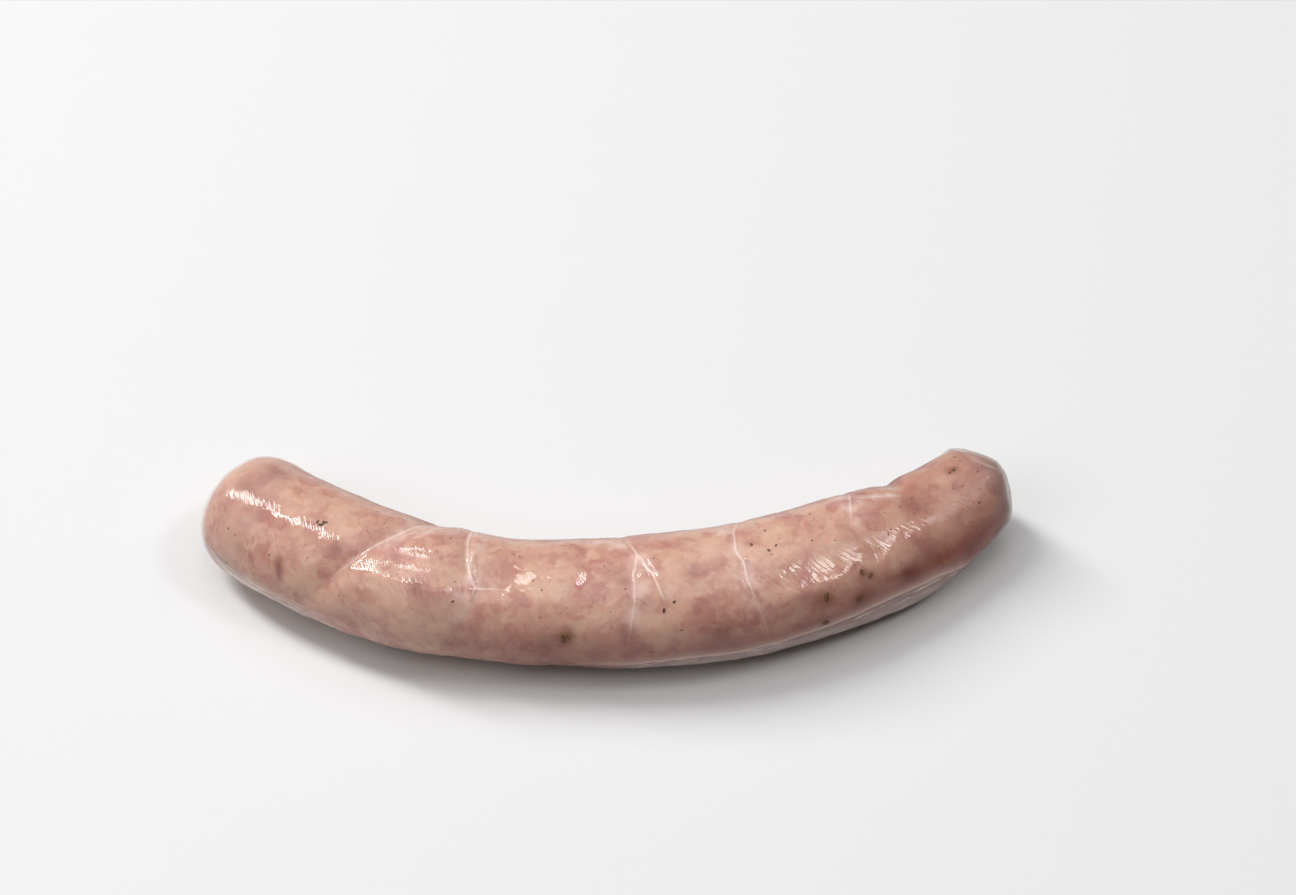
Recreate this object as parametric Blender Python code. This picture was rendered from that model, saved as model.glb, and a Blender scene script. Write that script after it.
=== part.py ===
"""A raw sausage link lying on its side, as one closed solid.

The link is a bent tube of soft filling in a thin casing. It rests on a narrow flat band that its own
weight presses into the underside. Packing pressed two more bands flat along its front, a short one near
the left end and a long one on the right half, and the tip of its right end, which curls up a little.

Metres, +Z up. X runs along the link, its hollow side faces +Y, and the origin is at the bottom centre
of its bounding box.
"""

import math

import bmesh
import bpy
import numpy as np

# The centre line bends in the XY plane: from its foremost point it reaches this far along X to each
# end, and runs back by this rise in Y.
LEFT_REACH, LEFT_RISE = 0.0834, 0.0296
RIGHT_REACH, RIGHT_RISE = 0.0925, 0.0342
BEND_POWER = 2.35

# The section is an ellipse, wider than tall, and the underside sinks by SETTLE into its flat band.
HALF_WIDTH = 0.0146
FLATNESS = 0.92
SETTLE = 0.0011

# Full and narrow places along the link: (share of its length, reach as a share, gain on the width).
SWELLS = (
    (0.19, 0.10, +0.030),
    (0.37, 0.09, -0.025),
    (0.66, 0.16, +0.050),
    (0.98, 0.14, -0.205),
)

# The right end curls up off the surface by this lift, from this share of the length onwards.
TIP_LIFT = 0.0046
LIFT_START = 0.86

# Both ends close in a blunt dome, whose outline is a superellipse.
LEFT_DOME, RIGHT_DOME = 0.0155, 0.0140
BLUNTNESS = 2.8

# The pressed front bands: (start, end and fade as shares of the length, how far the middle lies below
# level, half the angle that the band takes up in the section).
BANDS = (
    (0.04, 0.25, 0.07, math.radians(8.0), math.radians(10.0)),
    (0.50, 0.97, 0.10, math.radians(16.0), math.radians(15.0)),
)

# The pressed tip: how much of the end it takes off, and the way its plane faces.
TIP_DEPTH = 0.0008
TIP_HEADING = math.radians(62.0)
TIP_PITCH = math.radians(36.0)

RINGS = 88
DOME_RINGS = 9
SIDES = 52
LINE_SAMPLES = 2000

RAW_PORK = (0.62, 0.36, 0.27, 1.0)
WET_ROUGHNESS = 0.25


def smooth_step(low, high, value):
    """0 below low, 1 above high, with no corner between."""
    share = np.clip((value - low) / (high - low), 0.0, 1.0)
    return share * share * (3.0 - 2.0 * share)


def centre_line():
    """Points along the bent centre line, its direction at each, and the arc length up to each."""
    x = np.linspace(-LEFT_REACH, RIGHT_REACH, LINE_SAMPLES)
    left = LEFT_RISE * (np.clip(-x, 0.0, None) / LEFT_REACH) ** BEND_POWER
    right = RIGHT_RISE * (np.clip(x, 0.0, None) / RIGHT_REACH) ** BEND_POWER
    points = np.column_stack([x, left + right])
    steps = np.hypot(*np.diff(points, axis=0).T)
    arc = np.concatenate([[0.0], np.cumsum(steps)])
    return points, np.gradient(points, arc, axis=0), arc


def stations(length):
    """Arc lengths of the rings, closer together where a dome turns in to its pole."""
    turn = np.linspace(0.0, math.pi / 2.0, DOME_RINGS + 1)[:-1]
    left = LEFT_DOME * (1.0 - np.cos(turn))
    right = length - RIGHT_DOME * (1.0 - np.cos(turn))[::-1]
    body = np.linspace(LEFT_DOME, length - RIGHT_DOME, RINGS - 2 * DOME_RINGS)
    return np.concatenate([left, body, right])


def closing(arc, length):
    """How much of its full section the link has at this arc length: 1 along the body, 0 at the poles."""
    into_left = np.clip(1.0 - arc / LEFT_DOME, 0.0, 1.0)
    into_right = np.clip(1.0 - (length - arc) / RIGHT_DOME, 0.0, 1.0)
    return (1.0 - np.maximum(into_left, into_right) ** BLUNTNESS) ** (1.0 / BLUNTNESS)


def body_width(share):
    """Half the body's width at this share of its length, before the domes close it."""
    swell = sum(gain * math.exp(-(((share - place) / reach) ** 2)) for place, reach, gain in SWELLS)
    return HALF_WIDTH * (1.0 + swell)


def cut_flat(reach, facing, depth):
    """Shorten the section's reach to a flat at this depth, where the side faces it."""
    ahead = facing > 0.1
    return np.where(ahead, np.minimum(reach, depth / np.where(ahead, facing, 1.0)), reach)


def section(share, closed):
    """One ring as distances outwards from the centre line and heights, with its bands pressed flat."""
    angle = 2.0 * math.pi * np.arange(SIDES) / SIDES
    width = body_width(share)
    height = width * FLATNESS
    line_height = height - SETTLE + TIP_LIFT * smooth_step(LIFT_START, 1.0, share)
    reach = closed / np.hypot(np.cos(angle) / width, np.sin(angle) / height)
    reach = cut_flat(reach, -np.sin(angle), line_height)
    for start, end, fade, tilt, half_angle in BANDS:
        pressed = smooth_step(start, start + fade, share) * (1.0 - smooth_step(end - fade, end, share))
        depth = width * (1.0 - pressed * (1.0 - math.cos(half_angle)))
        reach = cut_flat(reach, np.cos(angle - math.pi - tilt), depth)
    return reach * np.cos(angle), line_height + reach * np.sin(angle)


def ring_points():
    """Every ring's points, as an array of (ring, side, xyz). The first and last are the two poles."""
    points, directions, arcs = centre_line()
    rings = []
    for arc in stations(arcs[-1]):
        centre = [np.interp(arc, arcs, points[:, i]) for i in (0, 1)]
        ahead = [np.interp(arc, arcs, directions[:, i]) for i in (0, 1)]
        outwards, heights = section(arc / arcs[-1], closing(arc, arcs[-1]))
        x, y = centre[0] - ahead[1] * outwards, centre[1] + ahead[0] * outwards
        rings.append(np.column_stack([x, y, heights]))
    return np.array(rings)


def press_tip(rings):
    """Slide what lies past the tip's plane back along the end's axis, onto the plane."""
    axis = rings[-1].mean(axis=0) - rings[-DOME_RINGS].mean(axis=0)
    axis /= np.linalg.norm(axis)
    level = math.cos(TIP_PITCH)
    facing = np.array([level * math.cos(TIP_HEADING), level * math.sin(TIP_HEADING), math.sin(TIP_PITCH)])
    reached = rings @ facing
    past = np.clip(reached - (reached.max() - TIP_DEPTH), 0.0, None)
    return rings - past[..., None] / (axis @ facing) * axis


def sausage_mesh():
    rings = press_tip(ring_points())
    low, high = rings.min(axis=(0, 1)), rings.max(axis=(0, 1))
    rings -= [(low[0] + high[0]) / 2.0, (low[1] + high[1]) / 2.0, low[2]]
    shape = bmesh.new()
    loops = [[shape.verts.new(point) for point in ring] for ring in rings[1:-1]]
    for near, far in zip(loops, loops[1:]):
        for i in range(SIDES):
            shape.faces.new([near[i - 1], far[i - 1], far[i], near[i]])
    for pole_ring, loop in ((rings[0], loops[0]), (rings[-1], loops[-1])):
        pole = shape.verts.new(pole_ring[0])
        for i in range(SIDES):
            shape.faces.new([pole, loop[i - 1], loop[i]])
    bmesh.ops.recalc_face_normals(shape, faces=shape.faces)
    mesh = bpy.data.meshes.new("sausage")
    shape.to_mesh(mesh)
    shape.free()
    mesh.shade_smooth()
    return mesh


def raw_sausage_material():
    material = bpy.data.materials.new("raw_sausage")
    material.use_nodes = True
    surface = material.node_tree.nodes["Principled BSDF"]
    surface.inputs["Base Color"].default_value = RAW_PORK
    surface.inputs["Roughness"].default_value = WET_ROUGHNESS
    surface.inputs["Metallic"].default_value = 0.0
    return material


def main():
    for obj in list(bpy.data.objects):
        bpy.data.objects.remove(obj)
    mesh = sausage_mesh()
    mesh.materials.append(raw_sausage_material())
    bpy.context.scene.collection.objects.link(bpy.data.objects.new("sausage", mesh))


main()
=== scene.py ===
# %% [markdown]
# # A raw sausage link
#
# A fresh link is soft, pale pink filling in a thin wet casing. Nothing about it is quite regular: the
# tube bends, the casing gathers in folds where it was twisted, and packing has pressed some of it flat.
# This lesson builds one such link in Blender, in cells: first the stage, then the casing's surface as
# one rule in Geometry Nodes, and then the loose film, the seasoning and the materials that use it.

import math

import bpy
import numpy as np
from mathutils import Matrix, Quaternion, Vector, kdtree


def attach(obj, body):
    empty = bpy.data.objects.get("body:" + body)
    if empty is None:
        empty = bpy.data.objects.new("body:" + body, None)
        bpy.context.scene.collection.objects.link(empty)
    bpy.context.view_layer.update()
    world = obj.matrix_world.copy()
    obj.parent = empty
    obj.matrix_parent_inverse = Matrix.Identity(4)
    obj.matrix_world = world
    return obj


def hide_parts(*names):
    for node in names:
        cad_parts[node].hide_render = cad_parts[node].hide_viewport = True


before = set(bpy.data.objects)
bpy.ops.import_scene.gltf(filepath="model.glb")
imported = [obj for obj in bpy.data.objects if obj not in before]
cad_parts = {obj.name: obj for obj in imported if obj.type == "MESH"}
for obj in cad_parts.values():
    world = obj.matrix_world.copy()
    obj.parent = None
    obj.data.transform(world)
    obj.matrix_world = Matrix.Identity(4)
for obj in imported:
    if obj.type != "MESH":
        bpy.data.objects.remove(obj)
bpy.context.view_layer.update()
scene = bpy.context.scene
MM = 0.001

# %% [markdown]
# ## The camera and the light
#
# The link lies on a white surface and is seen from its outer side, from 55 degrees above level, through
# a long lens, so its far end hardly shrinks. A large soft lamp high on the left, behind the link, gives
# most of the light and the long bright streak along the left half. A small one on the right gives the
# short glints there. The rest is weak fill, because a wet surface looks wet only where bright light is
# next to dim.

# %% Camera
CAMERA_HEIGHT_ANGLE = math.radians(55.0)
CAMERA_DISTANCE = 0.7614
CAMERA_LENS = 90.0
CAMERA_AIM = Vector((0.0095, 0.0388, 0.0))

toward_camera = Vector((0.0, -math.cos(CAMERA_HEIGHT_ANGLE), math.sin(CAMERA_HEIGHT_ANGLE)))
camera = bpy.data.objects.new("camera", bpy.data.cameras.new("camera"))
camera.data.lens = CAMERA_LENS
camera.data.sensor_width = 36.0
camera.data.clip_start = 0.01
camera.location = CAMERA_AIM + CAMERA_DISTANCE * toward_camera
camera.rotation_euler = (math.pi / 2.0 - CAMERA_HEIGHT_ANGLE, 0.0, 0.0)
scene.collection.objects.link(camera)
scene.camera = camera
print("camera at", [round(v, 3) for v in camera.location])

# %% Lamps
LAMP_DISTANCE = 2.0
LAMPS = {
    # name: (direction from the link, width, height, radiance)
    "key_behind_left": ((-0.52, 0.36, 0.77), 0.32, 1.30, 23.5),
    "glint_right": ((0.54, -0.02, 0.84), 0.34, 0.34, 16.0),
    "overhead": ((0.03, -0.12, 0.99), 1.30, 1.10, 2.00),
    "behind": ((-0.02, 0.42, 0.90), 1.20, 1.20, 1.20),
    "back_right": ((0.60, 0.30, 0.74), 1.00, 1.00, 0.80),
    "left_high": ((-0.60, -0.32, 0.73), 1.20, 1.20, 1.75),
}
SKY = 0.01

for name, (direction, width, height, radiance) in LAMPS.items():
    lamp = bpy.data.lights.new(name, "AREA")
    lamp.shape = "RECTANGLE"
    lamp.size, lamp.size_y = width, height
    lamp.energy = radiance * math.pi * width * height
    holder = bpy.data.objects.new(name, lamp)
    holder.location = LAMP_DISTANCE * Vector(direction).normalized()
    holder.rotation_euler = Vector(direction).to_track_quat("Z", "Y").to_euler()
    scene.collection.objects.link(holder)
scene.world = bpy.data.worlds.new("studio")
scene.world.use_nodes = True
scene.world.node_tree.nodes["Background"].inputs["Color"].default_value = (SKY, SKY, SKY, 1.0)
scene.view_settings.view_transform = "Standard"

# %% [markdown]
# ## Node trees as sums
#
# Both materials and Geometry Nodes are graphs of small calculations. Written by hand, each + or * takes
# three lines, and the idea drowns. This class wraps one socket and lets Python's own operators add the
# Math nodes, so that a formula in a tree reads like a formula.

# %% A socket that takes part in arithmetic
def pick(sockets, key):
    """The socket with this name, or at this place, among those that the settings leave in use."""
    in_use = [socket for socket in sockets if socket.enabled]
    return in_use[key] if isinstance(key, int) else next(s for s in in_use if s.name == key)


class Wire:
    """An output socket of a node tree. Arithmetic on it adds Math nodes to the tree."""

    def __init__(self, tree, socket=None):
        self.tree, self.socket = tree, socket

    def node(self, kind, settings=None, inputs=None, output=0):
        """Add a node: its settings first, then its sockets' values or links, by name or place."""
        made = self.tree.nodes.new(kind)
        for name, value in (settings or {}).items():
            setattr(made, name, value)
        for name, value in (inputs or {}).items():
            socket = pick(made.inputs, name)
            if isinstance(value, Wire):
                self.tree.links.new(value.socket, socket)
            elif value is not None:
                socket.default_value = value
        return Wire(self.tree, pick(made.outputs, output))

    def beside(self, output):
        """Another output of the node that this wire comes from."""
        return Wire(self.tree, pick(self.socket.node.outputs, output))

    def math(self, operation, *values):
        return self.node("ShaderNodeMath", {"operation": operation}, dict(enumerate(values)))

    def __add__(self, other): return self.math("ADD", self, other)
    def __radd__(self, other): return self.math("ADD", other, self)
    def __sub__(self, other): return self.math("SUBTRACT", self, other)
    def __rsub__(self, other): return self.math("SUBTRACT", other, self)
    def __mul__(self, other): return self.math("MULTIPLY", self, other)
    def __rmul__(self, other): return self.math("MULTIPLY", other, self)
    def __truediv__(self, other): return self.math("DIVIDE", self, other)
    def __pow__(self, other): return self.math("POWER", self, other)
    def __neg__(self): return self.math("MULTIPLY", self, -1.0)

    def sin(self): return self.math("SINE", self)
    def cos(self): return self.math("COSINE", self)
    def least(self, other): return self.math("MINIMUM", self, other)
    def most(self, other): return self.math("MAXIMUM", self, other)
    def clamp(self): return self.least(1.0).most(0.0)
    def bell(self, width): return self.math("EXPONENT", -((self / width) ** 2.0))

    def smooth(self, low, high):
        """0 below low, 1 above high, with no corner between."""
        names = {"Value": self, "From Min": low, "From Max": high}
        return self.node("ShaderNodeMapRange", {"interpolation_type": "SMOOTHSTEP"}, names)

    def vector(self, operation, *values):
        return self.node("ShaderNodeVectorMath", {"operation": operation}, dict(enumerate(values)))

    def part(self, axis):
        return self.node("ShaderNodeSeparateXYZ", None, {0: self}, axis)

    def join(self, x, y, z):
        return self.node("ShaderNodeCombineXYZ", None, {0: x, 1: y, 2: z})

    def noise(self, where, size, detail):
        """Blender's noise, from 0 to 1 about 0.5, with blotches of this size in metres."""
        return self.node("ShaderNodeTexNoise", None, {"Vector": where, "Scale": 1.0 / size, "Detail": detail})

    def mix(self, factor, first, second):
        """A colour between first and second."""
        return self.node("ShaderNodeMix", {"data_type": "RGBA"}, {0: factor, 1: first, 2: second})

    def attribute(self, name):
        """A number stored on the points, in a geometry tree."""
        return self.node("GeometryNodeInputNamedAttribute", {"data_type": "FLOAT"}, {"Name": name})

    def store(self, geometry, name, value):
        """The geometry with this number stored on its points."""
        return self.node("GeometryNodeStoreNamedAttribute", {"data_type": "FLOAT", "domain": "POINT"},
                         {"Geometry": geometry, "Name": name, "Value": value})

    def into(self, shader, name):
        """Feed this wire to an input of a shader."""
        self.tree.links.new(self.socket, shader.inputs[name])


# %% Make a geometry tree and run it
def geometry_tree(name, values):
    """A new tree with a named input for each value, as (tree, its inputs as wires by name)."""
    tree = bpy.data.node_groups.new(name, "GeometryNodeTree")
    for label, value in values.items():
        kind = {int: "Int", float: "Float"}.get(type(value), "Object")
        socket = tree.interface.new_socket(label, in_out="INPUT", socket_type="NodeSocket" + kind)
        if value is not None:
            socket.default_value = value
    tree.interface.new_socket("Geometry", in_out="OUTPUT", socket_type="NodeSocketGeometry")
    entry = tree.nodes.new("NodeGroupInput")
    return tree, {socket.name: Wire(tree, socket) for socket in entry.outputs if socket.name}


def finish_tree(tree, geometry):
    """Make this geometry the tree's result."""
    leave = tree.nodes.new("NodeGroupOutput")
    tree.links.new(geometry.socket, leave.inputs["Geometry"])


def above_table(wire, geometry):
    """The geometry with every point that was below the table brought up to it."""
    place = wire.node("GeometryNodeInputPosition")
    place = wire.join(place.part(0), place.part(1), place.part(2).most(0.0))
    return wire.node("GeometryNodeSetPosition", None, {"Geometry": geometry, "Position": place})


def grow(name, tree, values):
    """Run the tree once and keep what it made as a plain mesh object at the origin."""
    maker = bpy.data.objects.new(name, bpy.data.meshes.new(name))
    scene.collection.objects.link(maker)
    modifier = maker.modifiers.new("grow", "NODES")
    modifier.node_group = tree
    for item in tree.interface.items_tree:
        if item.in_out == "INPUT" and item.name in values:
            modifier[item.identifier] = values[item.name]
    graph = bpy.context.evaluated_depsgraph_get()
    mesh = bpy.data.meshes.new_from_object(maker.evaluated_get(graph))
    maker.modifiers.remove(modifier)
    maker.data = mesh
    mesh.name = name
    print(f"{name}: {len(mesh.vertices)} points, {len(mesh.polygons)} faces")
    return maker


# %% [markdown]
# ## The link's own rule
#
# A filled casing is a tube: a section carried along a bent line. The line, the section and the places
# where the link is full, narrow or pressed flat are numbers here, so the same rule can place the skin,
# the loose film over it and every grain of pepper in it. Two numbers name a place on the skin: how far
# along the link it is from the left end, and how far around, from the crown towards the front.

# %% Sizes of the link
LINK_LENGTH = 0.19171
LEFT_REACH, LEFT_RISE = 0.0834, 0.0296  # how far the left half runs sideways and back
RIGHT_REACH, RIGHT_RISE = 0.0925, 0.0342
BEND_POWER = 2.35  # 2 would be a parabola, and more keeps the middle straighter
FOREMOST = (-0.0040746, -0.0121877)  # where the middle line is furthest forward
HALF_WIDTH, FLATNESS = 0.0146, 0.92  # FLATNESS is the height over the width
SETTLE = 0.0011  # how far the link sinks, which leaves its underside flat
SWELLS = (  # (share of the length, reach, gain in width) of each full or narrow place
    (0.19, 0.10, 0.030), (0.37, 0.09, -0.025), (0.66, 0.16, 0.050), (0.98, 0.14, -0.205),
)
BANDS = (  # (start, end and fade as shares of the length, tilt, half angle, rounding) of each pressed band
    (0.04, 0.25, 0.07, math.radians(8.0), math.radians(10.0), 0.00005),
    (0.50, 0.97, 0.10, math.radians(16.0), math.radians(15.0), 0.00005),
    (0.19, 0.46, 0.08, math.radians(-79.5), math.radians(29.0), 0.0006),
    (0.62, 0.88, 0.09, math.radians(-65.0), math.radians(24.6), 0.0006),
)
LEFT_DOME, RIGHT_DOME, BLUNTNESS = 0.0155, 0.0088, 2.8  # how the ends close
TIP_LIFT, LIFT_START = 0.0046, 0.86  # how far the right end rises, and from what share of the length
TIP_AXIS = (0.768, 0.624, 0.140)  # the way the right end points
TIP_HEADING, TIP_PITCH = math.radians(68.0), math.radians(36.0)  # the way its flat end faces
TIP_PLANE, TIP_ROUNDING = 0.0546, 0.0008  # how far out the flat end lies, and how round its edge is
SKIN_RADIUS = 0.0145  # turns an angle around into a distance on the unrolled skin
LEAST_COSINE = 0.05  # no distance is divided by less

# %% Where a place on the skin is
def centre_line(wire):
    """The bent line through the link's middle, as a curve."""
    ends = {"Start": (-LEFT_REACH, 0.0, 0.0), "End": (RIGHT_REACH, 0.0, 0.0)}
    line = wire.node("GeometryNodeCurvePrimitiveLine", None, ends)
    line = wire.node("GeometryNodeResampleCurve", None, {"Curve": line, "Count": 600})
    x = wire.node("GeometryNodeInputPosition").part(0)
    left = LEFT_RISE * ((-x).most(0.0) / LEFT_REACH) ** BEND_POWER
    right = RIGHT_RISE * (x.most(0.0) / RIGHT_REACH) ** BEND_POWER
    place = wire.join(x + FOREMOST[0], left + right + FOREMOST[1], 0.0)
    return wire.node("GeometryNodeSetPosition", None, {"Geometry": line, "Position": place})


def skin(wire, along, around, shrink):
    """The point of the skin this far along and around, or as far inside it as shrink says."""
    share = along / LINK_LENGTH
    sizes = {"Curves": centre_line(wire), "Length": along}
    centre = wire.node("GeometryNodeSampleCurve", {"mode": "LENGTH"}, sizes, "Position")
    ahead = centre.beside("Tangent")

    swell = sum((gain * ((share - place) / reach).bell(1.0) for place, reach, gain in SWELLS), 1.0)
    width = HALF_WIDTH * swell
    height = FLATNESS * width
    lift = TIP_LIFT * share.smooth(LIFT_START, 1.0)
    line_height = height - SETTLE + lift
    into_left = (1.0 - (along - shrink) / (LEFT_DOME - shrink)).clamp()
    into_right = (1.0 - (LINK_LENGTH - shrink - along) / (RIGHT_DOME - shrink)).clamp()
    closed = (1.0 - into_left.most(into_right) ** BLUNTNESS).clamp() ** (1.0 / BLUNTNESS)

    flat = (around.sin() / width) ** 2.0 + (around.cos() / height) ** 2.0
    reach = closed / flat ** 0.5 - shrink * closed
    reach = reach.least(line_height / (-around.cos()).most(LEAST_COSINE))
    for start, end, fade, tilt, half_angle, rounding in BANDS:
        pressed = share.smooth(start, start + fade) * (1.0 - share.smooth(end - fade, end))
        depth = width * (1.0 - pressed * (1.0 - math.cos(half_angle)))
        facing = (around - (math.pi / 2.0 + tilt)).cos()
        reach = reach.math("SMOOTH_MIN", reach, depth / facing.most(LEAST_COSINE), rounding)
    outwards = reach * -around.sin()
    x = centre.part(0) - ahead.part(1) * outwards
    y = centre.part(1) + ahead.part(0) * outwards
    place = wire.join(x, y, line_height + reach * around.cos())

    level = math.cos(TIP_PITCH)
    facing = (level * math.cos(TIP_HEADING), level * math.sin(TIP_HEADING), math.sin(TIP_PITCH))
    slide = 1.0 / Vector(TIP_AXIS).dot(facing)
    past = wire.vector("DOT_PRODUCT", place, facing) - (TIP_PLANE - shrink)
    past = past.math("SMOOTH_MAX", past, 0.0, TIP_ROUNDING)
    return wire.vector("SUBTRACT", place, wire.vector("SCALE", TIP_AXIS, past * slide))


# %% [markdown]
# ## Folds in the casing
#
# Where the casing was twisted and squeezed it keeps folds: a thin standing crease with a shallow valley
# on each side. They are drawn on the unrolled skin, a flat sheet with the way along the link on
# X and the way around on Y. A third number sinks a line below the sheet, and because a fold's strength
# falls with its distance from the skin, a sunk stretch fades out. Geometry Proximity then gives every
# point of the skin its distance from the nearest line.

# %% Lines on the unrolled skin
FOLDS = (  # (mm along, degrees around, mm sunk) of each point of each line
    ((56, -80, 0.3), (52, -52, 0.0), (47, -19, 0.0), (43, 6, 0.0), (39, 35, 0.2), (36, 56, 0.5),
     (34, 76, 1.4)),
    ((58, -70, 0.6), (55, -46, 0.3), (51, -18, 0.4), (48, 2, 1.2)),
    ((63, -80, 0.3), (63, -27, 0.0), (64, -8, 0.0), (65, 7, 0.0), (67, 24, 0.0), (66, 45, 0.9),
     (65, 76, 1.5)),
    ((67, 24, 0.0), (69.5, 22.5, 0.0), (72, 21, 0.3)),
    ((91, -50, 1.2), (90, -25, 0.6), (89, 1, 0.5), (87, 30, 1.0)),
    ((98, -70, 0.5), (100, -40, 0.3), (102, -16, 0.0), (101, 8, 0.1), (101, 32, 0.2), (100, 54, 0.2),
     (99, 79, 0.5)),
    ((102, -16, 0.0), (105, 7, 0.0), (107, 31, 0.1), (108, 44, 0.9)),
    ((130, -90, 0.6), (128, -59, 0.2), (125, -32, 0.1), (124, -7, 0.0), (125, 7, 0.0), (125, 26, 0.1),
     (126, 49, 0.3), (127, 68, 0.3), (128, 95, 0.6)),
    ((156, -70, 0.6), (156, -44, 0.1), (153, -18, 0.1), (151, 1, 0.4), (153, 21, 0.7), (153, 41, 0.7),
     (154, 74, 1.0)),
    ((156, -44, 0.3), (160, -35, 0.4), (166, -23, 0.8)),
    ((43, 112, 0.3), (54, 119, 0.1), (70, 120, 0.2), (85, 116, 0.2), (97, 105, 0.2)),
    ((187, -52, 0.5), (185.8, -38, 0.4), (185.2, -25, 0.4), (185, -14, 0.4), (185.2, -4, 0.4),
     (186, 6, 0.4), (187.2, 16, 0.4), (189, 27, 0.5)),
    ((10, 92, 0.4), (14, 101, 0.1), (19, 103, 0.0), (26, 105, 0.0), (32, 109, 0.1), (36, 115, 0.4)),
)
HEMS = (  # the upper edges of the pressed bands
    ((9, 78, 0.7), (14, 85, 0.1), (22, 88, 0.0), (28, 93, 0.0), (32, 98, 0.0), (37, 105, 0.1),
     (43, 114, 0.3), (52, 120, 0.7)),
    ((90, 104, 0.9), (97, 99, 0.3), (111, 91, 0.0), (121, 92, 0.0), (132, 88.5, 0.0), (142, 84, 0.0),
     (150, 80.5, 0.0), (158, 80, 0.0), (166, 81, 0.0), (171, 89, 0.2), (175, 104, 0.7)),
)
VEILS = (  # middles of the places where loose casing makes a pale veil
    ((48, -40, 0.0), (48, -20, 0.0), (46, -4, 0.5)),
    ((64, -60, 0.8), (65.5, -20, 0.7), (66, 20, 0.7), (64, 50, 0.9)),
    ((93, -44, 0.4), (97, -36, 0.2), (101, -24, 0.0), (103, 0, 0.0), (102, 22, 0.0), (100, 50, 1.2)),
    ((124, -60, 0.3), (123, -30, 0.3), (124, 0, 0.1), (125, 26, 0.3), (126, 50, 1.4)),
    ((154, -60, 0.2), (153, -18, 0.0), (153, -8, 0.1), (158, -34, 0.4), (165, -22, 0.5)),
    ((188, -30, 0.0), (189, 0, 0.0), (189, 25, 0.2)),
)


def unrolled(name, lines):
    """The lines as edges on the unrolled sheet, for a geometry tree to measure distances from."""
    points, edges = [], []
    for line in lines:
        first = len(points)
        points += [(a * MM, SKIN_RADIUS * math.radians(r), sunk * MM) for a, r, sunk in line]
        edges += [(i, i + 1) for i in range(first, len(points) - 1)]
    mesh = bpy.data.meshes.new(name)
    mesh.from_pydata(points, edges, [])
    return bpy.data.objects.new(name, mesh)


def near_lines(wire, lines, sheet):
    """The distance to the nearest of the lines, and how far past it around the link the place is."""
    shape = wire.node("GeometryNodeObjectInfo", None, {"Object": lines}, "Geometry")
    inputs = {"Geometry": shape, "Sample Position": sheet}
    nearest = wire.node("GeometryNodeProximity", {"target_element": "EDGES"}, inputs)
    return nearest.beside("Distance"), sheet.part(1) - nearest.part(1)


# %% [markdown]
# ## The skin
#
# The skin starts as a flat grid, one side for the way along and the other for the way around. The grid's
# points crowd together towards both ends, where the link closes, and on the side that shows most. Each
# point is carried to its place by the rule above, and then moved in or out by lumps of filling, by the
# folds and by fine wrinkles, which lie slantwise and break the light on the wet casing into short combs.

# %% The skin's tree
RINGS, SIDES = 620, 158
DOME_SHARE, DOME_LENGTH = 0.085, 0.0125  # this share of the rings covers this length at each end
CROWDING, CROWDED = 0.3, 0.4  # how much closer the points of a ring stand, and where around that is
POLE = 2.0 * MM  # dents and wrinkles fade out this far from each end
LUMPS = ((1.2, 0.024), (0.6, 0.008), (0.20, 0.0028))  # (mm high, metres across)
RIDGE, RIDGE_WIDTH = 0.20 * MM, 0.30 * MM  # a fold's crease
VALLEY, VALLEY_WIDTH = 0.30 * MM, 1.3 * MM  # the hollow on both sides of it
HEM_RIDGE, HEM_WIDTH = 0.28 * MM, 0.40 * MM
WRINKLE_SLANT = math.radians(35.0)
WRINKLE_PITCH, WRINKLE_HEIGHT = 1.15 * MM, 0.030 * MM
WARPS = ((2.2, 0.007), (0.8, 0.0024))  # (mm aside, metres across) of what bends the wrinkles
LEFT_ROOM, RIGHT_ROOM = 0.35 * MM, 0.6 * MM  # between casing and filling, at the ends
HEM_ROOM = 0.45 * MM  # and below the hems
NO_ROOM = 0.03 * MM  # with less than this the film is cut away
LEFT_FILM_END = (0.040, 0.056)  # along the link, where the left half's loose film fades out
UNDERSIDE = (math.radians(150.0), math.radians(168.0))  # around it, where both halves' film does


def spread(wire, count_x, count_y):
    """A grid and, for each of its points, how far along and around the link it goes."""
    size = {"Size X": 1.0, "Size Y": 1.0, "Vertices X": count_x, "Vertices Y": count_y}
    grid = wire.node("GeometryNodeMeshGrid", None, size)
    place = wire.node("GeometryNodeInputPosition")
    u, turn = place.part(0) + 0.5, place.part(1) * 2.0 * math.pi
    quarter = math.pi / 2.0
    left = 1.0 - ((u / DOME_SHARE).clamp() * quarter).cos()
    right = (((u - 1.0) / DOME_SHARE + 1.0).clamp() * quarter).sin()
    middle = ((u - DOME_SHARE) / (1.0 - 2.0 * DOME_SHARE)).clamp()
    along = DOME_LENGTH * left + (LINK_LENGTH - 2.0 * DOME_LENGTH) * middle + DOME_LENGTH * right
    around = turn - CROWDING * (turn - CROWDED).sin() - CROWDING * math.sin(CROWDED)
    return grid, along, around


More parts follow.
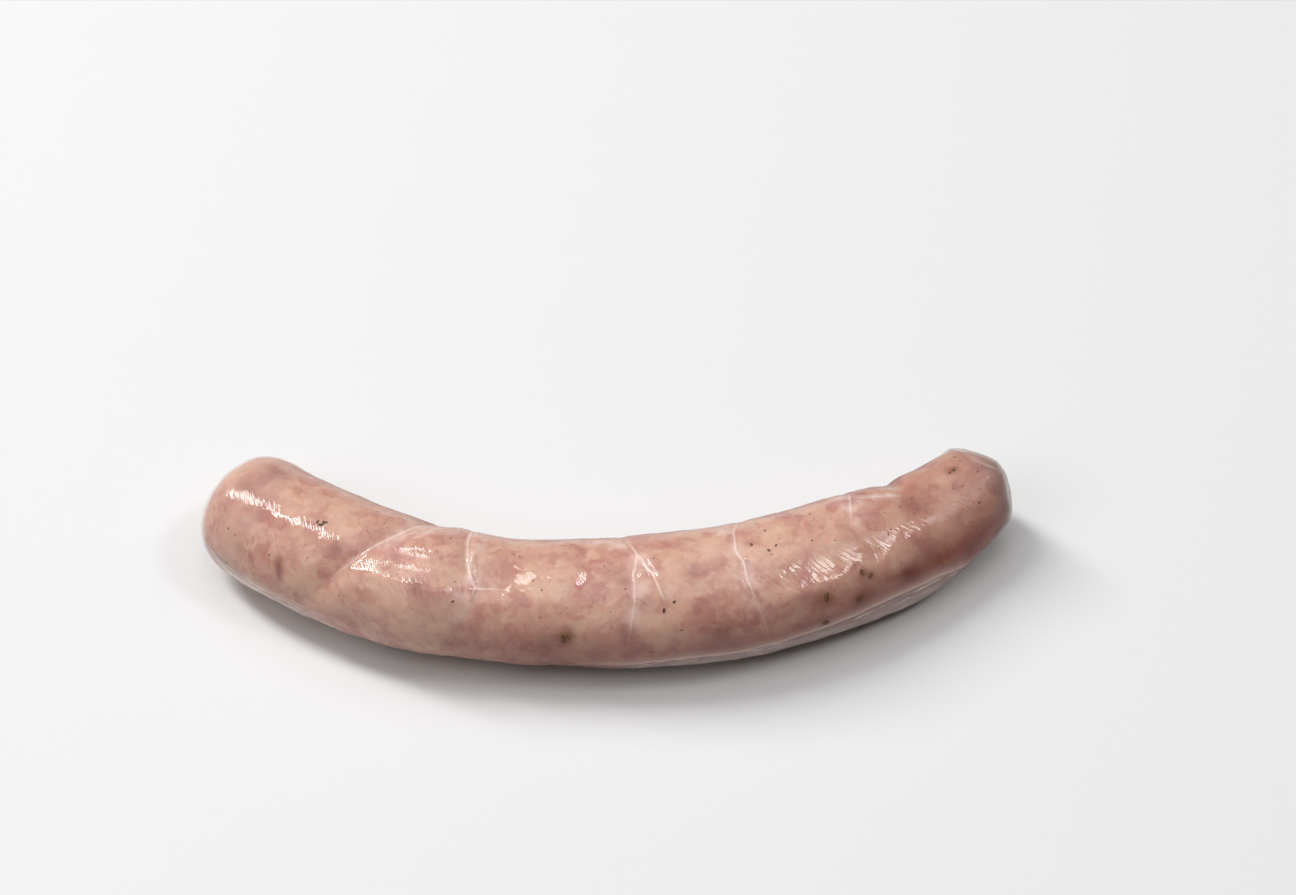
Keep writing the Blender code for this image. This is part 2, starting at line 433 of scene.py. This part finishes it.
WRINKLED = (  # (mm along, half length, degrees around, half width, strength) of each comb of wrinkles
    (17.0, 9.0, 22.0, 14.0, 1.2),
    (53.0, 12.0, 34.0, 9.0, 1.2),
    (67.0, 8.0, 24.0, 7.0, 1.2),
    (98.0, 8.0, 26.0, 12.0, 0.6),
    (120.0, 8.0, 18.0, 14.0, 0.7),
    (136.0, 9.0, 30.0, 11.0, 1.8),
    (162.0, 5.0, 16.0, 12.0, 1.0),
)
DENTS = (  # (mm along, degrees around, mm long, mm wide, degrees from the link's line, mm out)
    (43.5, 5, 20.0, 3.4, 123, -1.25), (57.5, 12, 22.0, 8.5, 100, 1.45), (58.0, 34, 8.0, 8.0, 0, 0.70),
    (190.0, 72, 8.0, 7.0, 90, -1.30), (51.0, 7, 9.0, 1.2, -4, -0.14), (52.0, 24, 10.0, 1.1, 2, -0.14),
    (65.6, 8, 9.0, 0.8, 84, 0.42), (50.0, -3, 8.0, 1.0, -5, 0.20), (50.0, 33, 10.0, 1.0, 0, 0.20),
    (67.0, 25, 6.0, 1.0, 0, 0.15), (69.5, 24, 3.0, 0.8, 0, 0.16), (76.0, -2, 1.4, 1.0, 10, 0.12),
    (80.0, 3, 1.1, 0.9, 0, 0.08), (83.0, 9, 0.9, 0.8, 0, 0.08), (90.0, 1, 1.4, 1.0, 20, 0.14),
    (98.0, 28, 2.6, 1.0, -35, 0.14), (103.6, 30, 8.0, 1.8, 98, -0.45), (105.8, 12, 6.5, 1.2, 82, 0.42),
    (115.0, 0, 1.3, 1.0, 0, 0.12), (113.0, 17, 1.0, 0.9, 0, 0.10), (127.0, 7, 2.2, 1.2, 30, 0.30),
    (142.0, 42, 9.0, 2.5, -8, 0.22), (134.0, 47, 5.0, 2.5, -20, 0.20), (140.5, 25, 2.6, 2.0, 0, 0.12),
    (145.5, 24, 1.6, 1.2, 20, 0.10), (150.0, 22, 1.8, 1.0, -10, 0.12), (158.5, 4, 2.0, 0.9, 0, 0.12),
    (158.5, 9, 1.2, 0.9, 0, 0.12), (168.0, -56, 11.0, 2.4, 90, -0.90),
    (178.0, -58, 9.0, 5.0, 90, -0.50), (187.0, -78, 7.0, 5.0, 90, -1.10),
    (166.0, 116, 16.0, 9.0, 0, 1.30), (2.0, 70, 14.0, 8.0, 90, -0.70), (4.0, -75, 12.0, 9.0, 90, 0.90),
)


def dent(along, across, a, r, length, width, turn, out):
    """A smooth bump or hollow on the unrolled skin, longer one way than the other."""
    x, y = along - a * MM, across - SKIN_RADIUS * math.radians(r)
    cos, sin = math.cos(math.radians(turn)), math.sin(math.radians(turn))
    off = ((x * cos + y * sin) / (length * MM)) ** 2.0 + ((y * cos - x * sin) / (width * MM)) ** 2.0
    return out * MM * off.math("EXPONENT", -off)


def wander(wire, where, waves):
    """Noise about nought in waves of several sizes, (mm high, metres across) for each."""
    return sum(height * MM * (wire.noise(where, size, 1.0) - 0.5) for height, size in waves)


def relief(wire, sheet, place):
    """How far the skin stands out at each point: lumps, dents, folds, hems and wrinkles."""
    along, across = sheet.part(0), sheet.part(1)
    off_the_poles = along.smooth(0.0, POLE) * (1.0 - along.smooth(LINK_LENGTH - POLE, LINK_LENGTH))
    dents = sum(dent(along, across, *marks) for marks in DENTS)
    lumps = wander(wire, place, LUMPS) + off_the_poles * dents
    fold, hem = wire.attribute("fold"), wire.attribute("hem")
    folds = RIDGE * fold.bell(RIDGE_WIDTH) - VALLEY * fold.bell(VALLEY_WIDTH)
    hems = HEM_RIDGE * hem.bell(HEM_WIDTH)
    strength = 0.15 + 0.75 * wire.noise(place, 0.009, 1.0).smooth(0.48, 0.66)
    for a, half_length, r, half_width, gain in WRINKLED:
        half_across = SKIN_RADIUS / MM * math.radians(half_width)
        strength += dent(along, across, a, r, half_length, half_across, 0, gain / MM)
    strength *= 0.35 + 1.3 * wire.noise(sheet, 0.0026, 1.0).smooth(0.36, 0.62)
    wrinkles = strength * (wire.attribute("wrinkle") * (2.0 * math.pi / WRINKLE_PITCH)).sin()
    return lumps + folds + hems + WRINKLE_HEIGHT * wrinkles * off_the_poles


def room_under_film(along, around, hem, below_hem):
    """How far the filling stays inside the casing: at both ends and below the hems."""
    ends = LEFT_ROOM * (1.0 - along.smooth(0.006, 0.022))
    ends += RIGHT_ROOM * along.smooth(LINK_LENGTH - 0.013, LINK_LENGTH - 0.004)
    below = below_hem.smooth(0.0, 1.6 * MM) * (1.0 - around.smooth(*UNDERSIDE))
    left = along.smooth(0.006, 0.014) * (1.0 - along.smooth(*LEFT_FILM_END))
    right = along.smooth(0.094, 0.110) * (1.0 - along.smooth(0.168, 0.186))
    return ends.most(HEM_ROOM * below * (left + right))


def skin_tree(name, finish, is_film):
    """The tree of the filling's surface, or of the film that stands off it."""
    tree, given = geometry_tree(name, {
        "Rings": RINGS, "Sides": SIDES, "Folds": None, "Hems": None, "Veils": None})
    wire = Wire(tree)
    grid, along, around = spread(wire, given["Rings"], given["Sides"])
    if not is_film:
        along = LEFT_ROOM + along * (1.0 - (LEFT_ROOM + RIGHT_ROOM) / LINK_LENGTH)
    grid = wire.store(grid, "along", along)
    grid = wire.store(grid, "around", around)
    along, around = wire.attribute("along"), wire.attribute("around")
    sheet = wire.join(along, around * SKIN_RADIUS, 0.0)
    fold, _ = near_lines(wire, given["Folds"], sheet)
    hem, below_hem = near_lines(wire, given["Hems"], sheet)
    veil, _ = near_lines(wire, given["Veils"], sheet)
    wrinkle = along * math.cos(WRINKLE_SLANT) - sheet.part(1) * math.sin(WRINKLE_SLANT)
    numbers = {"fold": fold, "hem": hem, "below_hem": below_hem, "veil": veil,
               "wrinkle": wrinkle + wander(wire, sheet, WARPS),
               "room": room_under_film(along, around, hem, below_hem)}
    for label, value in numbers.items():
        grid = wire.store(grid, label, value)
    place = skin(wire, along, around, 0.0 if is_film else wire.attribute("room"))
    tube = wire.node("GeometryNodeSetPosition", None, {"Geometry": grid, "Position": place})
    tube = wire.node("GeometryNodeMergeByDistance", None, {"Geometry": tube, "Distance": 1.0e-6})
    tube = wire.node("GeometryNodeFlipFaces", None, {"Mesh": tube})
    tube = wire.node("GeometryNodeSetShadeSmooth", None, {"Geometry": tube})

    place = wire.node("GeometryNodeInputPosition")
    out = wire.vector("SCALE", wire.node("GeometryNodeInputNormal"), relief(wire, sheet, place))
    tube = above_table(wire, wire.node("GeometryNodeSetPosition", None, {"Geometry": tube, "Offset": out}))
    if is_film:
        limits = {"A": wire.attribute("room"), "B": NO_ROOM}
        touching = wire.node("FunctionNodeCompare", {"operation": "LESS_THAN"}, limits)
        tube = wire.node("GeometryNodeDeleteGeometry", None, {"Geometry": tube, "Selection": touching})
    tube = wire.node("GeometryNodeSetMaterial", None, {"Geometry": tube, "Material": finish})
    finish_tree(tree, tube)
    return tree


# %% [markdown]
# ## What the filling is made of
#
# The filling is coarsely ground: soft grains of lean meat, which are mauve, fat, which is cream, and a
# pale pink mixture of both, all a little blurred because they lie behind a casing. Voronoi cells with
# smooth edges give grains of about the right size, each with one random tone, and noise at other scales
# breaks them up. Where a grain stands out on this link it is painted one by one, as a number on the
# skin's points, and so are the places that have dried and hardly shine. Painted shade darkens the right
# half low down and at its right end, and a narrow brown streak along the back is painted shade for the
# dark line at its back edge. Light goes a few millimetres into the surface, so the material scatters
# it, red furthest.

# %% Paint one by one
LEAN = (  # (mm along, degrees around, mm across, strength) of the darker grains of lean
    (25.4, 49, 1.7, 0.4), (25.6, 55, 1.9, 0.6), (26, 61, 2.0, 0.6), (26.4, 67, 1.8, 0.5),
    (55, 33, 4.2, 0.55), (10, 5, 4.0, 0.5), (36, 22, 4.0, 0.5), (114, 8, 4.5, 0.35),
    (99, 14, 3.5, 0.35), (167, 2, 6.5, 0.45), (159, 68, 5.0, 0.4), (174, 78, 3.0, 0.5),
    (118, 65, 4.5, 0.3), (158, 61, 4.0, 0.35), (63, 78, 5.0, 0.3), (82, 73, 5.5, 0.35),
    # The three marks 9 mm across, on the front of the right half, are painted shade rather than grains.
    (16, 60, 3.0, 0.3), (12, -28, 6.0, 0.45), (164, 55, 9.0, 0.30), (149, 66, 9.0, 0.28),
    (117, 79, 9.0, 0.30), (104, 35, 5.0, 0.30), (97, 5, 5.0, 0.22), (100, 62, 4.0, 0.25),
    (138, 60, 5.0, 0.25),
)
FAT = (  # the same for the pale grains of fat
    (55, 56, 10.0, 0.28), (62, 50, 7.0, 0.35), (118, -10, 6.0, 0.5), (93, 48, 4.5, 0.3),
    (31, 56, 3.5, 0.3), (162, -62, 4.0, 0.3), (176, 20, 4.0, 0.45), (102, 54, 4.5, 0.35),
    (85, -12, 4.0, 0.25), (4, 20, 4.0, 0.35), (176, -8, 3.0, 0.3), (46, 62, 5.0, 0.25),
)
DRY = tuple((a, r, 2.0, 0.9) for r in (8.5, 24.0) for a in range(46, 63)) + (  # and for the dry places
    (139, 8, 6.0, 0.9), (143, 9, 6.0, 0.9), (147, 10, 6.0, 0.9), (151, 12, 5.0, 0.9), (156, 18, 4.0, 0.5),
)


def places(mesh):
    """How far along and around the link each point of the mesh is."""
    along, around = np.empty(len(mesh.vertices)), np.empty(len(mesh.vertices))
    mesh.attributes["along"].data.foreach_get("value", along)
    mesh.attributes["around"].data.foreach_get("value", around)
    return along, around


def paint(shape, name, marks):
    """Store the marks' strength on the shape's points, each mark fading out from its middle."""
    mesh = shape.data
    along, around = places(mesh)
    total = np.zeros(len(mesh.vertices))
    for a, r, across, strength in marks:
        off = np.hypot(along - a * MM, SKIN_RADIUS * (around - math.radians(r)))
        total += strength * np.exp(-((off / (0.5 * across * MM)) ** 2))
    mesh.attributes.new(name, "FLOAT", "POINT").data.foreach_set("value", total)


# %% The filling's material
def new_material(name, values):
    """A material with these values, as (the material, a wire to build from, its surface shader)."""
    made = bpy.data.materials.new(name)
    made.use_nodes = True
    surface = made.node_tree.nodes["Principled BSDF"]
    for label, value in values.items():
        surface.inputs[label].default_value = value
    return made, Wire(made.node_tree), surface


def stored(wire, name):
    """A number stored on the points, in a material."""
    return wire.node("ShaderNodeAttribute", {"attribute_name": name}, None, "Fac")


def grains(wire, where, size):
    """Soft-edged cells of this size, each with a random number from 0 to 1."""
    cells = wire.node("ShaderNodeTexVoronoi", {"feature": "SMOOTH_F1"}, {
        "Vector": where, "Scale": 1.0 / size, "Smoothness": 0.7, "Randomness": 1.0}, "Color")
    return cells.part(0)


PEACH, LEAN_PINK, LEAN_DARK = (0.60, 0.350, 0.265, 1.0), (0.47, 0.220, 0.188, 1.0), (0.31, 0.130, 0.112, 1.0)
FAT_CREAM, BROWNED = (0.74, 0.530, 0.405, 1.0), (0.36, 0.205, 0.150, 1.0)
STAINED = (0.29, 0.140, 0.082, 1.0)
PALE_CASING_AND_HIGHLIGHT, BACK_EDGE_SHADE = (0.80, 0.610, 0.550, 1.0), (0.27, 0.140, 0.100, 1.0)
# The tint of the painted shade low down on the right half and over its right end.
LOW_SHADE_TINT = (0.47, 0.265, 0.235, 1.0)
LOW_SHADE_LINE = (0.010, 0.0245)  # the painted shade low down fades out between these heights
BACK, BACK_WIDTH = math.radians(-62.0), math.radians(15.0)  # the painted shade along the back edge, around the link

raw, wire, surface = new_material("raw_filling", {
    "IOR": 1.40, "Specular IOR Level": 0.5,
    "Subsurface Weight": 0.35, "Subsurface Radius": (3.0, 1.2, 0.7), "Subsurface Scale": 0.001})
place = wire.node("ShaderNodeTexCoord", None, None, "Object")
wobble = wire.vector("SCALE", wire.node("ShaderNodeTexNoise", None, {
    "Vector": place, "Scale": 260.0, "Detail": 3.0}, "Color"), 0.006)
bent = wire.vector("ADD", place, wobble)
coarse, small, fine_grain = grains(wire, bent, 0.0062), grains(wire, bent, 0.0030), grains(wire, bent, 0.0014)
cloud, specks = wire.noise(place, 0.013, 2.0), wire.noise(place, 0.0009, 3.0)
lean = 0.38 * (1.0 - coarse.smooth(0.15, 0.55)) + 0.48 * (1.0 - small.smooth(0.15, 0.50))
lean = lean + 1.1 * (cloud - 0.5) + 0.34 * (1.0 - fine_grain.smooth(0.15, 0.50))
cream = 0.36 * coarse.smooth(0.50, 0.95) + 0.40 * small.smooth(0.50, 0.95)
cream = cream - 0.8 * (cloud - 0.5) + 0.26 * fine_grain.smooth(0.55, 0.95)
lean, cream = (1.1 * (lean - 0.14)).clamp(), (1.1 * (cream - 0.06)).clamp()
meat = wire.mix(0.95 * lean, PEACH, LEAN_PINK)
meat = wire.mix(0.55 * cream, meat, FAT_CREAM)
meat = wire.mix((1.3 * stored(wire, "fat")).clamp(), meat, FAT_CREAM)
meat = wire.mix((1.5 * stored(wire, "lean")).clamp(), meat, LEAN_DARK)
browned = (1.0 - specks.smooth(0.22, 0.40)) * wire.noise(place, 0.006, 1.0).smooth(0.40, 0.65)
meat = wire.mix(0.45 * browned + 0.10 * (wire.noise(place, 0.0022, 3.0) - 0.3).clamp(), meat, BROWNED)
meat = wire.mix(0.75 * stored(wire, "stain").clamp(), meat, STAINED)

along = stored(wire, "along")
# Painted shade: the right half darker low down, towards the table, and over its right end.
low_shade = 0.85 * along.smooth(0.045, 0.090) + 0.75 * along.smooth(0.100, 0.150)
low_shade *= 1.0 - place.part(2).smooth(*LOW_SHADE_LINE)
low_shade = low_shade.most(0.45 * along.smooth(0.145, 0.175)).clamp()
multiply = {"data_type": "RGBA", "blend_type": "MULTIPLY"}
shaded_meat = wire.node("ShaderNodeMix", multiply, {0: low_shade, 1: meat, 2: LOW_SHADE_TINT})
veil = stored(wire, "veil").bell(2.2 * MM) * (0.20 + 1.1 * wire.noise(place, 0.0034, 3.0).smooth(0.36, 0.70))
crease = stored(wire, "fold").bell(0.26 * MM)
# The hem lines are painted pale: partly paler casing, partly a painted highlight along the ridge.
hem = 0.50 * stored(wire, "hem").bell(0.36 * MM) + 0.32 * stored(wire, "hem").bell(1.7 * MM)
pale = (0.46 * veil + 0.75 * crease + hem).clamp()
# Painted shade: a brown streak along the back, standing in for the dark line at the link's back edge.
back = (stored(wire, "around") - BACK).bell(BACK_WIDTH)
painted_back_shade = 0.60 * back * along.smooth(0.012, 0.030) * (1.0 - along.smooth(0.168, 0.182))
body = wire.mix(painted_back_shade, wire.mix(pale, shaded_meat, PALE_CASING_AND_HIGHLIGHT), BACK_EDGE_SHADE)
body.into(surface, "Base Color")

hatch = (stored(wire, "wrinkle") * (2.0 * math.pi / (0.5 * WRINKLE_PITCH))).sin()
fine = 0.010 * MM * hatch + 0.03 * MM * (wire.noise(place, 0.0011, 2.0) - 0.5)
bump = wire.node("ShaderNodeBump", None, {"Strength": 0.6, "Distance": 1.0, "Height": fine})
bump.into(surface, "Normal")
dull = (0.26 * along.smooth(0.164, 0.172)).most(0.45 * back).most(0.42 * stored(wire, "dry").clamp())
(0.045 + dull).into(surface, "Roughness")

# %% Grow the skin
lines = {"Folds": unrolled("fold_lines", FOLDS), "Hems": unrolled("hem_lines", HEMS),
         "Veils": unrolled("veil_lines", VEILS)}
filling = grow("link_filling", skin_tree("link_skin", raw, False), lines)
paint(filling, "lean", LEAN)
paint(filling, "fat", FAT)
paint(filling, "dry", DRY)

# %% [markdown]
# ## The casing where it stands loose
#
# Along the front of both halves and over the right end the casing is slack and stands off the filling
# like cling film. It is the same skin without the room that was kept under it, cut away wherever it
# touches the filling, and see-through: it is thickest along the hems and at the cut end. The bright
# lines along its hems and the fine bright streaks along the link are painted highlights, and its
# paler colour on the left half is partly its own and partly painted light. The rest of its wet shine
# comes from the shader.

# %% Film
# The third colour, for the left half's film, is paler: partly the loose film's own pale colour, partly
# painted light.
FILM, FILM_LOW, FILM_LEFT = (0.60, 0.430, 0.385, 1.0), (0.57, 0.410, 0.375, 1.0), (0.72, 0.50, 0.43, 1.0)
FILM_TIP, FILM_HIGHLIGHT_AND_FOLD = (0.41, 0.285, 0.238, 1.0), (0.95, 0.85, 0.80, 1.0)
SECOND = 1.5 * MM  # a second, broken line, a painted highlight on thicker film, runs this far below each hem
STRETCH = 0.22  # the noise is read this much slower along the link, which draws it out into streaks

casing, wire, surface = new_material("loose_casing", {"Roughness": 0.12, "Specular IOR Level": 0.30})
along, around, below_hem = stored(wire, "along"), stored(wire, "around"), stored(wire, "below_hem")
streaks = wire.noise(wire.join(along * STRETCH, around * SKIN_RADIUS, 0.0), 0.0010, 2.0)
# The fine bright streaks along the link: painted highlights, which also thicken the film.
lit = streaks.smooth(0.52, 0.66)
edge, fold = stored(wire, "hem").bell(0.30 * MM), stored(wire, "fold").bell(0.4 * MM)
second = (below_hem - SECOND).bell(0.22 * MM) * streaks.smooth(0.40, 0.55)
in_band = along.smooth(0.004, 0.012) * (1.0 - along.smooth(0.172, 0.183))
in_band *= 1.0 - around.smooth(*UNDERSIDE)
below, low = below_hem.smooth(0.0, 0.5 * MM) * in_band, below_hem.smooth(SECOND, 3.5 * MM) * in_band
left_end = 1.0 - along.smooth(*LEFT_FILM_END)
right_end = along.smooth(LINK_LENGTH - 0.0115, LINK_LENGTH - 0.0035)

thick = 0.22 + (0.28 + 0.16 * lit) * below + 0.25 * low + 0.9 * edge + 0.25 * second + 0.6 * fold
thick = (thick + (0.25 + 0.30 * lit) * left_end * below + 0.30 * right_end).clamp()
between = along.smooth(0.174, 0.180) * (1.0 - right_end)
thick *= stored(wire, "room").smooth(0.02 * MM, 0.12 * MM) * (1.0 - between)
thick.into(surface, "Alpha")
tint = wire.mix(left_end, wire.mix(low, FILM, FILM_LOW), FILM_LEFT)
tint = wire.mix(right_end, tint, FILM_TIP)
# Painted highlights along the hems, the second lines and the streaks, and the film's pale folds.
bright = (edge + 0.6 * second + 0.6 * fold + 0.25 * lit * below).clamp()
wire.mix(bright, tint, FILM_HIGHLIGHT_AND_FOLD).into(surface, "Base Color")
film = grow("link_casing", skin_tree("link_film", casing, True), lines)

# %% [markdown]
# ## The seasoning
#
# Ground pepper, a few bits of dried herb and paprika lie just under the casing. Each is a real grain of
# its own size, flattened, and sunk until only its top stands out. The larger ones are listed one by one,
# and a seeded generator sows the rest all round the link. A grain knows its place along and around, so
# the nearest point of the skin gives where it lies and which way is out.

# %% Seasoning listed and by chance
PEPPER = (  # (mm along, degrees around, mm across) of each grain
    (29.5, 3.5, 1.0), (30.2, 5, 1.6), (30.8, 3, 1.2), (31.2, 1, 0.7), (12, 48, 0.6), (14, 51, 0.7),
    (41, -6, 0.45), (44, -13, 0.4), (43, -24, 0.4), (59, -22, 0.6), (63, 38, 0.9), (23, 50, 0.5),
    (31, 38, 0.45), (9, 35, 0.4), (52, 15, 0.4), (107, 42, 1.3), (109, 35, 0.9), (110, 61, 0.6),
    (81, 20, 0.5), (99, 20, 0.6), (118, 19, 0.4), (104, 81, 0.5), (128, -10, 0.8), (132, -23, 0.8),
    (131, 1, 0.9), (133, -3, 0.9), (131.5, 5, 0.6), (144, -32, 0.7), (141, 2, 0.5), (158, 20, 0.6),
    (158, 51, 0.5), (168, -7, 0.6), (166, 11, 0.5), (184, 10, 0.6), (183, -25, 0.8), (180, 40, 0.6),
    (164, -2, 0.5),
)
HERBS = (
    (86, 65, 2.2), (86.8, 63, 1.4), (147, 69, 2.0), (140, 57, 2.5), (149, 46, 1.5), (150.5, 51, 1.5),
    (139, 81, 1.9), (180, -10, 1.0), (178.8, -9, 0.7), (114, 98, 1.6), (115.5, 99, 1.3), (155, 88, 1.0),
)
PAPRIKA = (
    (81, 45, 1.1), (79, 10, 0.6), (179, 12, 1.3), (177, 9, 0.7), (57, -5, 0.5), (134, 22, 0.6), (96, 55, 0.6),
)
STAINS = tuple((a, r, 1.6 * across, 1.0) for a, r, across in HERBS) + (  # brown filling round the herbs
    (179.4, -10, 3.6, 0.3), (155.0, 60.0, 3.0, 0.3),
)
NARROWEST, WIDEST = 0.45, 0.85  # a grain's width over its length
THICKNESS, THICKEST = 0.30, 0.32  # its thickness over its length, and at most in mm
SUNK = 0.15  # how far its middle lies inside the skin, over its thickness
RAGGED = 0.4  # how far its surface wanders, over its length, at a raggedness of 1


def by_chance(seed, count, smallest, largest, start=112.0, end=306.0):
    """Seeded marks between two places around the link, most of them small."""
    chance = np.random.default_rng(seed)
    along, around = chance.uniform(5.0, 187.0, count), chance.uniform(start, end, count)
    around = np.where(around > 180.0, around - 360.0, around)
    across = smallest + (largest - smallest) * chance.random(count) ** 3.0
    return tuple(zip(along.tolist(), around.tolist(), across.tolist()))


def sow(name, marks, shape, seed):
    """One point for each mark on the skin, with the turn and the size of its grain."""
    mesh = shape.data
    tree = kdtree.KDTree(len(mesh.vertices))
    for index, (a, r) in enumerate(zip(*places(mesh))):
        tree.insert((a, SKIN_RADIUS * r, 0.0), index)
    tree.balance()
    chance = np.random.default_rng(seed)
    points, tilts, sizes = [], [], []
    for a, r, across in marks:
        vertex = mesh.vertices[tree.find((a * MM, SKIN_RADIUS * math.radians(r), 0.0))[1]]
        turn = Quaternion((0.0, 0.0, 1.0), chance.uniform(0.0, math.tau))
        tilts.append((vertex.normal.to_track_quat("Z", "Y") @ turn).to_euler())
        narrow, thick = chance.uniform(NARROWEST, WIDEST), min(THICKNESS * across, THICKEST)
        sizes.append((across * MM, narrow * across * MM, thick * MM))
        points.append(vertex.co - SUNK * thick * MM * vertex.normal)
    made = bpy.data.meshes.new(name)
    made.from_pydata(points, [], [])
    for label, values in (("tilt", tilts), ("size", sizes)):
        attribute = made.attributes.new(label, "FLOAT_VECTOR", "POINT")
        attribute.data.foreach_set("vector", np.array(values, dtype=np.float32).ravel())
    return bpy.data.objects.new(name, made)


def grain_tree(name, finish, subdivisions):
    """A ragged flattened grain on every mark."""
    tree, given = geometry_tree(name, {"Marks": None, "Raggedness": 0.9})
    wire = Wire(tree)
    marks = wire.node("GeometryNodeObjectInfo", None, {"Object": given["Marks"]}, "Geometry")
    ball = wire.node("GeometryNodeMeshIcoSphere", None, {"Radius": 0.5, "Subdivisions": subdivisions})
    vector = {"data_type": "FLOAT_VECTOR"}
    tilt = wire.node("GeometryNodeInputNamedAttribute", vector, {"Name": "tilt"})
    size = wire.node("GeometryNodeInputNamedAttribute", vector, {"Name": "size"})
    grains_made = wire.node("GeometryNodeInstanceOnPoints", None, {
        "Points": marks, "Instance": ball, "Rotation": tilt, "Scale": size})
    grains_made = wire.node("GeometryNodeRealizeInstances", None, {"Geometry": grains_made})
    ragged = wire.noise(wire.node("GeometryNodeInputPosition"), 0.0006, 2.0) - 0.5
    far = given["Raggedness"] * RAGGED * ragged * size.part(0)
    out = wire.vector("SCALE", wire.node("GeometryNodeInputNormal"), far)
    grains_made = wire.node("GeometryNodeSetPosition", None, {"Geometry": grains_made, "Offset": out})
    grains_made = above_table(wire, grains_made)
    grains_made = wire.node("GeometryNodeSetShadeSmooth", None, {"Geometry": grains_made})
    grains_made = wire.node("GeometryNodeSetMaterial", None, {"Geometry": grains_made, "Material": finish})
    finish_tree(tree, grains_made)
    return tree


def speckled(name, dark, light, size, roughness=0.22):
    """A wet material that wanders between two colours."""
    made, wire, surface = new_material(name, {"Roughness": roughness, "Specular IOR Level": 0.25})
    place = wire.node("ShaderNodeTexCoord", None, None, "Object")
    wire.mix(wire.noise(place, size, 3.0).smooth(0.35, 0.68), dark, light).into(surface, "Base Color")
    return made


SEASONING = (  # (piece, marks, subdivisions, raggedness, finish)
    ("black_pepper",
     PEPPER + by_chance(3, 60, 0.25, 0.90) + by_chance(4, 60, 0.22, 0.40, -55.0, 112.0), 2, 0.9,
     speckled("pepper", (0.060, 0.026, 0.016, 1.0), (0.200, 0.100, 0.062, 1.0), 0.0006)),
    ("pepper_husk", by_chance(5, 520, 0.20, 0.60, -180.0, 180.0), 2, 0.9,
     speckled("husk", (0.160, 0.090, 0.055, 1.0), (0.330, 0.200, 0.130, 1.0), 0.0006)),
    ("dried_herb", HERBS + by_chance(7, 12, 0.40, 1.80), 3, 0.35,
     speckled("herb", (0.090, 0.042, 0.020, 1.0), (0.200, 0.094, 0.047, 1.0), 0.0007, 0.6)),
    ("paprika",
     PAPRIKA + by_chance(11, 12, 0.30, 1.00) + by_chance(12, 10, 0.25, 0.45, -55.0, 112.0), 2, 0.9,
     speckled("paprika", (0.330, 0.110, 0.080, 1.0), (0.460, 0.210, 0.150, 1.0), 0.0008)),
)

paint(filling, "stain", STAINS)
seasoning = []
for seed, (name, marks, subdivisions, raggedness, finish) in enumerate(SEASONING):
    sown = sow(name + "_marks", marks, filling, seed)
    tree = grain_tree(name + "_grains", finish, subdivisions)
    seasoning.append(grow(name, tree, {"Marks": sown, "Raggedness": raggedness}))

# %% [markdown]
# ## The table and the last step
#
# The link lies on a plain pale sheet, which is stage and not part of the object. Each finished piece
# rides on the frame's one body and takes the place of its CAD solid.

# %% The table
floor_mesh = bpy.data.meshes.new("floor")
floor_mesh.from_pydata([(-3, -3, 0), (3, -3, 0), (3, 3, 0), (-3, 3, 0)], [], [(0, 1, 2, 3)])
floor = bpy.data.objects.new("floor", floor_mesh)
scene.collection.objects.link(floor)
paper, _, _ = new_material("pale_table", {
    "Base Color": (0.735, 0.735, 0.735, 1.0), "Roughness": 0.6, "Specular IOR Level": 0.2})
floor_mesh.materials.append(paper)

# %% Ride on the body in place of the solid
for piece in (filling, film, *seasoning):
    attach(piece, "root")
    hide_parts("sausage")
